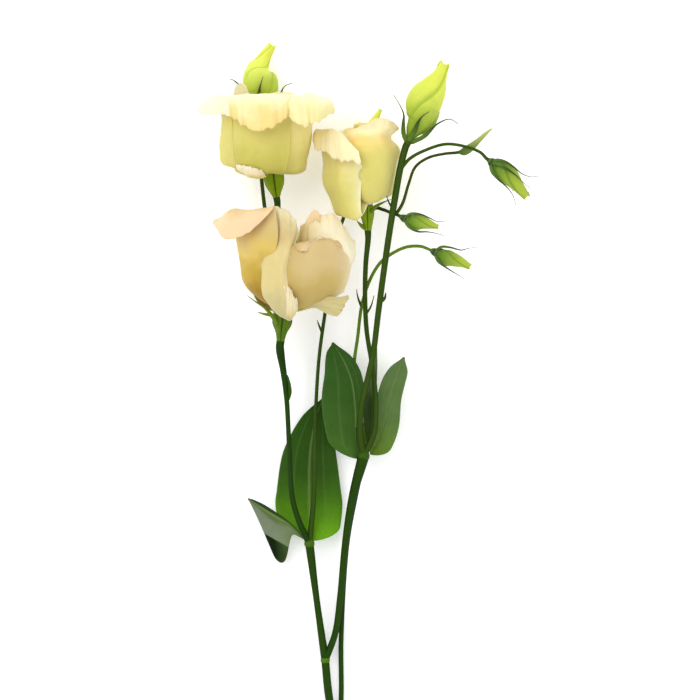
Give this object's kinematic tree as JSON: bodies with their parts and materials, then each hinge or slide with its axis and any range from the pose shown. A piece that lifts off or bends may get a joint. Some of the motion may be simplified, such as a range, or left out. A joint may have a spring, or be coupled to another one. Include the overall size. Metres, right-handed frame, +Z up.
{
  "type": "lisianthus flower",
  "caption": "Cut, branched lisianthus stem with cream ruffled double blooms, pale green twisted buds and grey-green clasping leaves, lying on its side.",
  "frame": {"origin": "middle of the underside of the spray's bounding box, on the surface that it lies on", "axes": "+Y along the stem towards the blooms, +Z up from the surface, towards the side that the picture shows"},
  "size_m": [0.1871, 0.4034, 0.0704],
  "materials": {
    "stem": "satin",
    "leaf": "satin",
    "calyx": "satin",
    "petal_cream": "matte",
    "petal_blush": "matte",
    "petal_ivory": "matte",
    "bud_yellow": "matte",
    "bud_green": "satin",
    "stamen": "matte",
    "pistil": "satin"
  },
  "bodies": {
    "root": {"stem": "stem", "leaf_lower_broad": "leaf", "leaf_lower_folded": "leaf", "leaf_upper_left": "leaf", "leaf_upper_right": "leaf", "leaf_upper_narrow": "leaf", "bloom_left_petals": "petal_cream", "bloom_left_calyx": "calyx", "bloom_left_stamens": "stamen", "bloom_left_pistil": "pistil", "bloom_front_petals": "petal_blush", "bloom_front_calyx": "calyx", "bloom_front_stamens": "stamen", "bloom_front_pistil": "pistil", "bloom_middle_petals": "petal_ivory", "bloom_middle_calyx": "calyx", "bloom_middle_stamens": "stamen", "bloom_middle_pistil": "pistil", "bud_back_left_petals": "bud_yellow", "bud_back_left_calyx": "calyx", "bud_tall_petals": "bud_yellow", "bud_tall_calyx": "calyx", "bud_droop_petals": "bud_green", "bud_droop_calyx": "calyx", "bud_small_upper_petals": "bud_green", "bud_small_upper_calyx": "calyx", "bud_small_lower_petals": "bud_green", "bud_small_lower_calyx": "calyx", "bud_hidden_petals": "bud_yellow", "bud_hidden_calyx": "calyx", "bud_young": "bud_green"}
  },
  "joints": []
}
